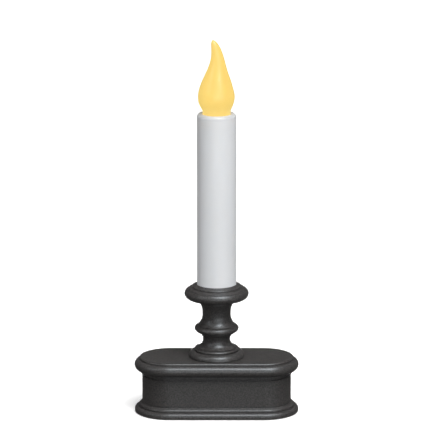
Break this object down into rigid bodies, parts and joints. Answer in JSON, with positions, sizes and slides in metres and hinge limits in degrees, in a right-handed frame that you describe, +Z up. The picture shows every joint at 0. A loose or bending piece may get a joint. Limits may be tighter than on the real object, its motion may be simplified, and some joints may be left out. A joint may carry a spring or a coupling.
{
  "type": "flameless led candle",
  "caption": "Battery window candle with an oblong moulded base, a turned-style stem and cup, a white candle sleeve, an amber flame diffuser, a hinged battery door and a slide switch.",
  "frame": {"origin": "middle of the base, on the plane that the rubber feet rest on", "axes": "+Z up to the flame, +X along the base to its switch end, +Y to the back"},
  "size_m": [0.107, 0.0456, 0.2476],
  "materials": {
    "bronze_plastic": "satin, antique bronze-black with a fine grain",
    "underside_plastic": "matt black",
    "knob_plastic": "matt black",
    "foot_rubber": "matt",
    "screw_steel": "zinc plated",
    "cell_can": "printed jacket over a can, no lettering",
    "contact_steel": "nickel plated",
    "board_laminate": "green solder mask",
    "chip_resin": "moulded resin",
    "capacitor_can": "sleeved can",
    "switch_steel": "pressed case",
    "sleeve_plastic": "satin white",
    "flame_plastic": "translucent amber, satin",
    "holder_plastic": "white",
    "led_resin": "clear amber",
    "wire_red": "gloss insulation",
    "wire_black": "gloss insulation"
  },
  "bodies": {
    "candle": {"base_body": "bronze_plastic", "base_cap": "bronze_plastic", "bottom_plate": "underside_plastic", "rubber_feet": "foot_rubber", "plate_screws": "screw_steel", "battery_cell_front": "cell_can", "battery_cell_rear": "cell_can", "contact_bridge_plate": "contact_steel", "contact_bridge_spring": "contact_steel", "contact_positive_plate": "contact_steel", "contact_negative_plate": "contact_steel", "contact_negative_spring": "contact_steel", "circuit_board": "board_laminate", "timer_chip": "chip_resin", "board_capacitor": "capacitor_can", "board_resistors": "chip_resin", "timing_crystal": "contact_steel", "slide_switch_case": "switch_steel", "board_screws": "screw_steel", "stem": "bronze_plastic", "stem_screws": "screw_steel", "candle_sleeve": "sleeve_plastic", "flame": "flame_plastic", "led_holder": "holder_plastic", "led_board": "board_laminate", "led": "led_resin", "wire_led_red": "wire_red", "wire_led_black": "wire_black", "wire_battery_red": "wire_red", "wire_battery_black": "wire_black"},
    "door": {"battery_door": "underside_plastic"},
    "switch": {"switch_knob": "knob_plastic"}
  },
  "joints": [
    {"name": "battery_door_hinge", "type": "hinge", "parent": "candle", "child": "door", "pos_m": [-0.034, 0, 0.001], "axis": [0, 1, 0], "range_deg": [0, 90]},
    {"name": "power_switch_slide", "type": "slide", "parent": "candle", "child": "switch", "axis": [0, 1, 0], "range_m": [-0.002, 0.002]}
  ]
}
